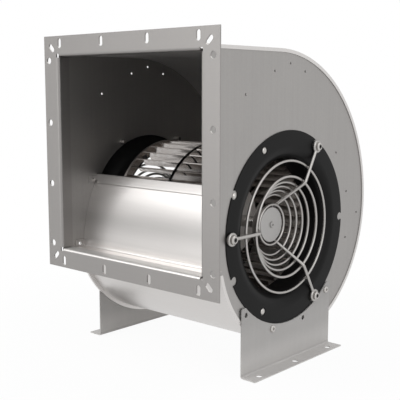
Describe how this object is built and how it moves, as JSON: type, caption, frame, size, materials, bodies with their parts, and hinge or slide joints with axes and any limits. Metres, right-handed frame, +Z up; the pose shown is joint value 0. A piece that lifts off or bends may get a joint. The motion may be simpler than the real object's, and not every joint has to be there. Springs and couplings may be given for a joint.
{
  "type": "double-inlet blower fan",
  "caption": "Double-inlet centrifugal blower: forward-curved blade wheel on an external-rotor motor in a sheet-metal scroll with a square outlet flange, inlet rings, wire guards and two feet.",
  "frame": {"origin": "on the floor, at the centre of the four outer bolt holes of the feet, below the wheel's axis", "axes": "+X along the wheel's axis, -Y the way the outlet blows, +Z up"},
  "size_m": [0.34, 0.3862, 0.465],
  "materials": {
    "galvanised_casing": "galvanised, satin",
    "galvanised_bright": "galvanised, bright satin",
    "galvanised_flange": "galvanised, satin",
    "black_paint": "satin black",
    "zinc_wire": "zinc plated wire",
    "zinc_plate": "zinc plated",
    "zinc_hardware": "zinc plated",
    "galvanised_feet": "galvanised, satin",
    "ground_steel": "ground",
    "bearing_steel": "polished",
    "spring_steel": "phosphated",
    "core_laminations": "blued laminations",
    "copper_windings": "enamelled copper",
    "cast_aluminium": "as cast",
    "galvanised_wheel": "galvanised, satin",
    "black_disc": "satin black"
  },
  "bodies": {
    "housing": {"axle": "ground_steel", "axle_nut": "zinc_hardware", "axle_screw": "zinc_hardware", "bearing_inner_ring_left": "bearing_steel", "bearing_inner_ring_right": "bearing_steel", "centre_plate_left": "zinc_plate", "centre_plate_right": "zinc_plate", "circlips": "spring_steel", "cutoff_plate": "galvanised_bright", "cutoff_rivets": "zinc_hardware", "foot_left": "galvanised_feet", "foot_right": "galvanised_feet", "foot_rivet_nuts": "zinc_hardware", "foot_screws": "zinc_hardware", "guard_rings_left": "zinc_wire", "guard_rings_right": "zinc_wire", "inlet_ring_left": "black_paint", "inlet_ring_right": "black_paint", "outlet_flange": "galvanised_flange", "scroll_wrap": "galvanised_casing", "side_plate_left": "galvanised_casing", "side_plate_right": "galvanised_casing", "spoke_rivet_nuts": "zinc_hardware", "spoke_screws": "zinc_hardware", "stator_core": "core_laminations", "stator_windings": "copper_windings", "support_spoke_front_left": "zinc_wire", "support_spoke_front_right": "zinc_wire", "support_spoke_lower_left": "zinc_wire", "support_spoke_lower_right": "zinc_wire", "support_spoke_rear_left": "zinc_wire", "support_spoke_rear_right": "zinc_wire"},
    "impeller": {"rotor_bell": "cast_aluminium", "rotor_core": "core_laminations", "rotor_shield": "cast_aluminium", "shield_screws": "zinc_hardware", "bearing_outer_ring_right": "bearing_steel", "bearing_outer_ring_left": "bearing_steel", "wheel_disc": "black_disc", "blades_right": "galvanised_wheel", "blades_left": "galvanised_wheel", "end_ring_right": "galvanised_wheel", "end_ring_left": "galvanised_wheel", "wheel_screws": "zinc_hardware", "balance_clips": "spring_steel"},
    "ball_set_right": {"bearing_balls_right": "bearing_steel", "ball_cage_right": "bearing_steel"},
    "ball_set_left": {"bearing_balls_left": "bearing_steel", "ball_cage_left": "bearing_steel"}
  },
  "joints": [
    {"name": "wheel_spin", "type": "hinge", "parent": "housing", "child": "impeller", "pos_m": [0, 0, 0.195], "axis": [1, 0, 0], "continuous": true},
    {"name": "ball_set_right_spin", "type": "hinge", "parent": "housing", "child": "ball_set_right", "pos_m": [0, 0, 0.195], "axis": [1, 0, 0], "continuous": true},
    {"name": "ball_set_left_spin", "type": "hinge", "parent": "housing", "child": "ball_set_left", "pos_m": [0, 0, 0.195], "axis": [1, 0, 0], "continuous": true}
  ],
  "couplings": [
    {"joint": "ball_set_right_spin", "follows": "wheel_spin", "ratio": 0.59},
    {"joint": "ball_set_left_spin", "follows": "wheel_spin", "ratio": 0.59}
  ]
}
